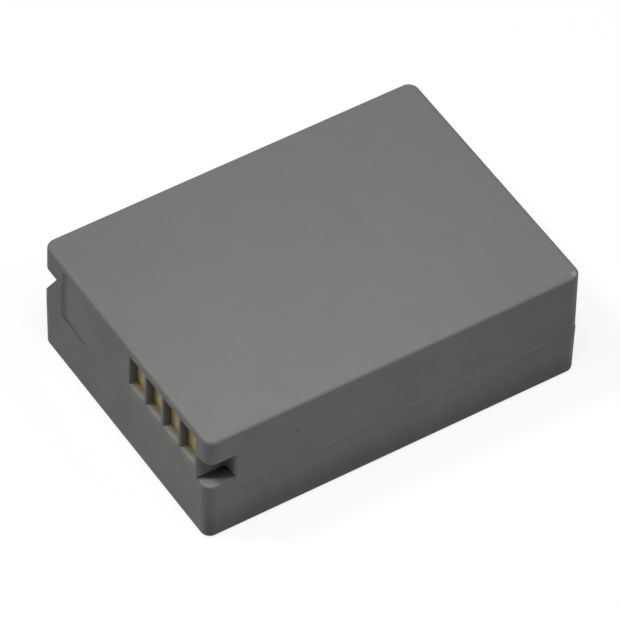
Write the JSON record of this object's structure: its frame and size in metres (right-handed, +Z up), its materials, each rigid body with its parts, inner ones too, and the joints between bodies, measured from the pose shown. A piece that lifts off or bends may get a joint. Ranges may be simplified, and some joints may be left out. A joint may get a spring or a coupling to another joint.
{
  "type": "camera battery",
  "caption": "Flat rectangular rechargeable camera battery: a welded plastic case with notched front corners and slotted contacts at one end.",
  "frame": {"origin": "middle of the underside, on the surface that the battery lies on", "axes": "+Z up through the thickness, +Y along the length away from the contact end, +X across the width towards the contact slots' side"},
  "size_m": [0.0324, 0.0454, 0.0148],
  "materials": {
    "cover_plastic": "charcoal grey, fine moulded texture",
    "tray_plastic": "charcoal grey, fine moulded texture",
    "gold_plating": "thin gold plating, lightly wiped",
    "holder_plastic": "black moulded plastic",
    "circuit_board": "green solder mask over glass laminate",
    "chip_plastic": "black moulding compound",
    "capacitor_ceramic": "tan fired ceramic",
    "resistor_ceramic": "black coated ceramic",
    "thermistor_ceramic": "grey green ceramic",
    "cell_can": "drawn aluminium, satin",
    "insulating_card": "pale vulcanised fibre",
    "nickel_strip": "nickel, rolled",
    "fuse_case": "black moulded case",
    "adhesive_tape": "white double sided tape",
    "foam_rubber": "dark closed cell foam"
  },
  "bodies": {
    "root": {"upper_shell": "cover_plastic", "lower_shell": "tray_plastic", "contact_plate_1": "gold_plating", "contact_plate_2": "gold_plating", "contact_plate_3": "gold_plating", "contact_plate_4": "gold_plating", "contact_holder": "holder_plastic", "protection_board": "circuit_board", "protection_chip": "chip_plastic", "switch_chip": "chip_plastic", "sense_resistor": "resistor_ceramic", "capacitor_1": "capacitor_ceramic", "capacitor_2": "capacitor_ceramic", "resistor_1": "resistor_ceramic", "resistor_2": "resistor_ceramic", "thermistor": "thermistor_ceramic", "left_cell": "cell_can", "right_cell": "cell_can", "terminal_card": "insulating_card", "cell_spacer": "insulating_card", "negative_strap": "nickel_strip", "bridge_strap": "nickel_strip", "positive_strap": "nickel_strip", "thermal_fuse": "fuse_case", "fuse_lead": "nickel_strip", "bottom_tape": "adhesive_tape", "top_pad": "foam_rubber", "rear_pad": "foam_rubber"}
  },
  "joints": []
}
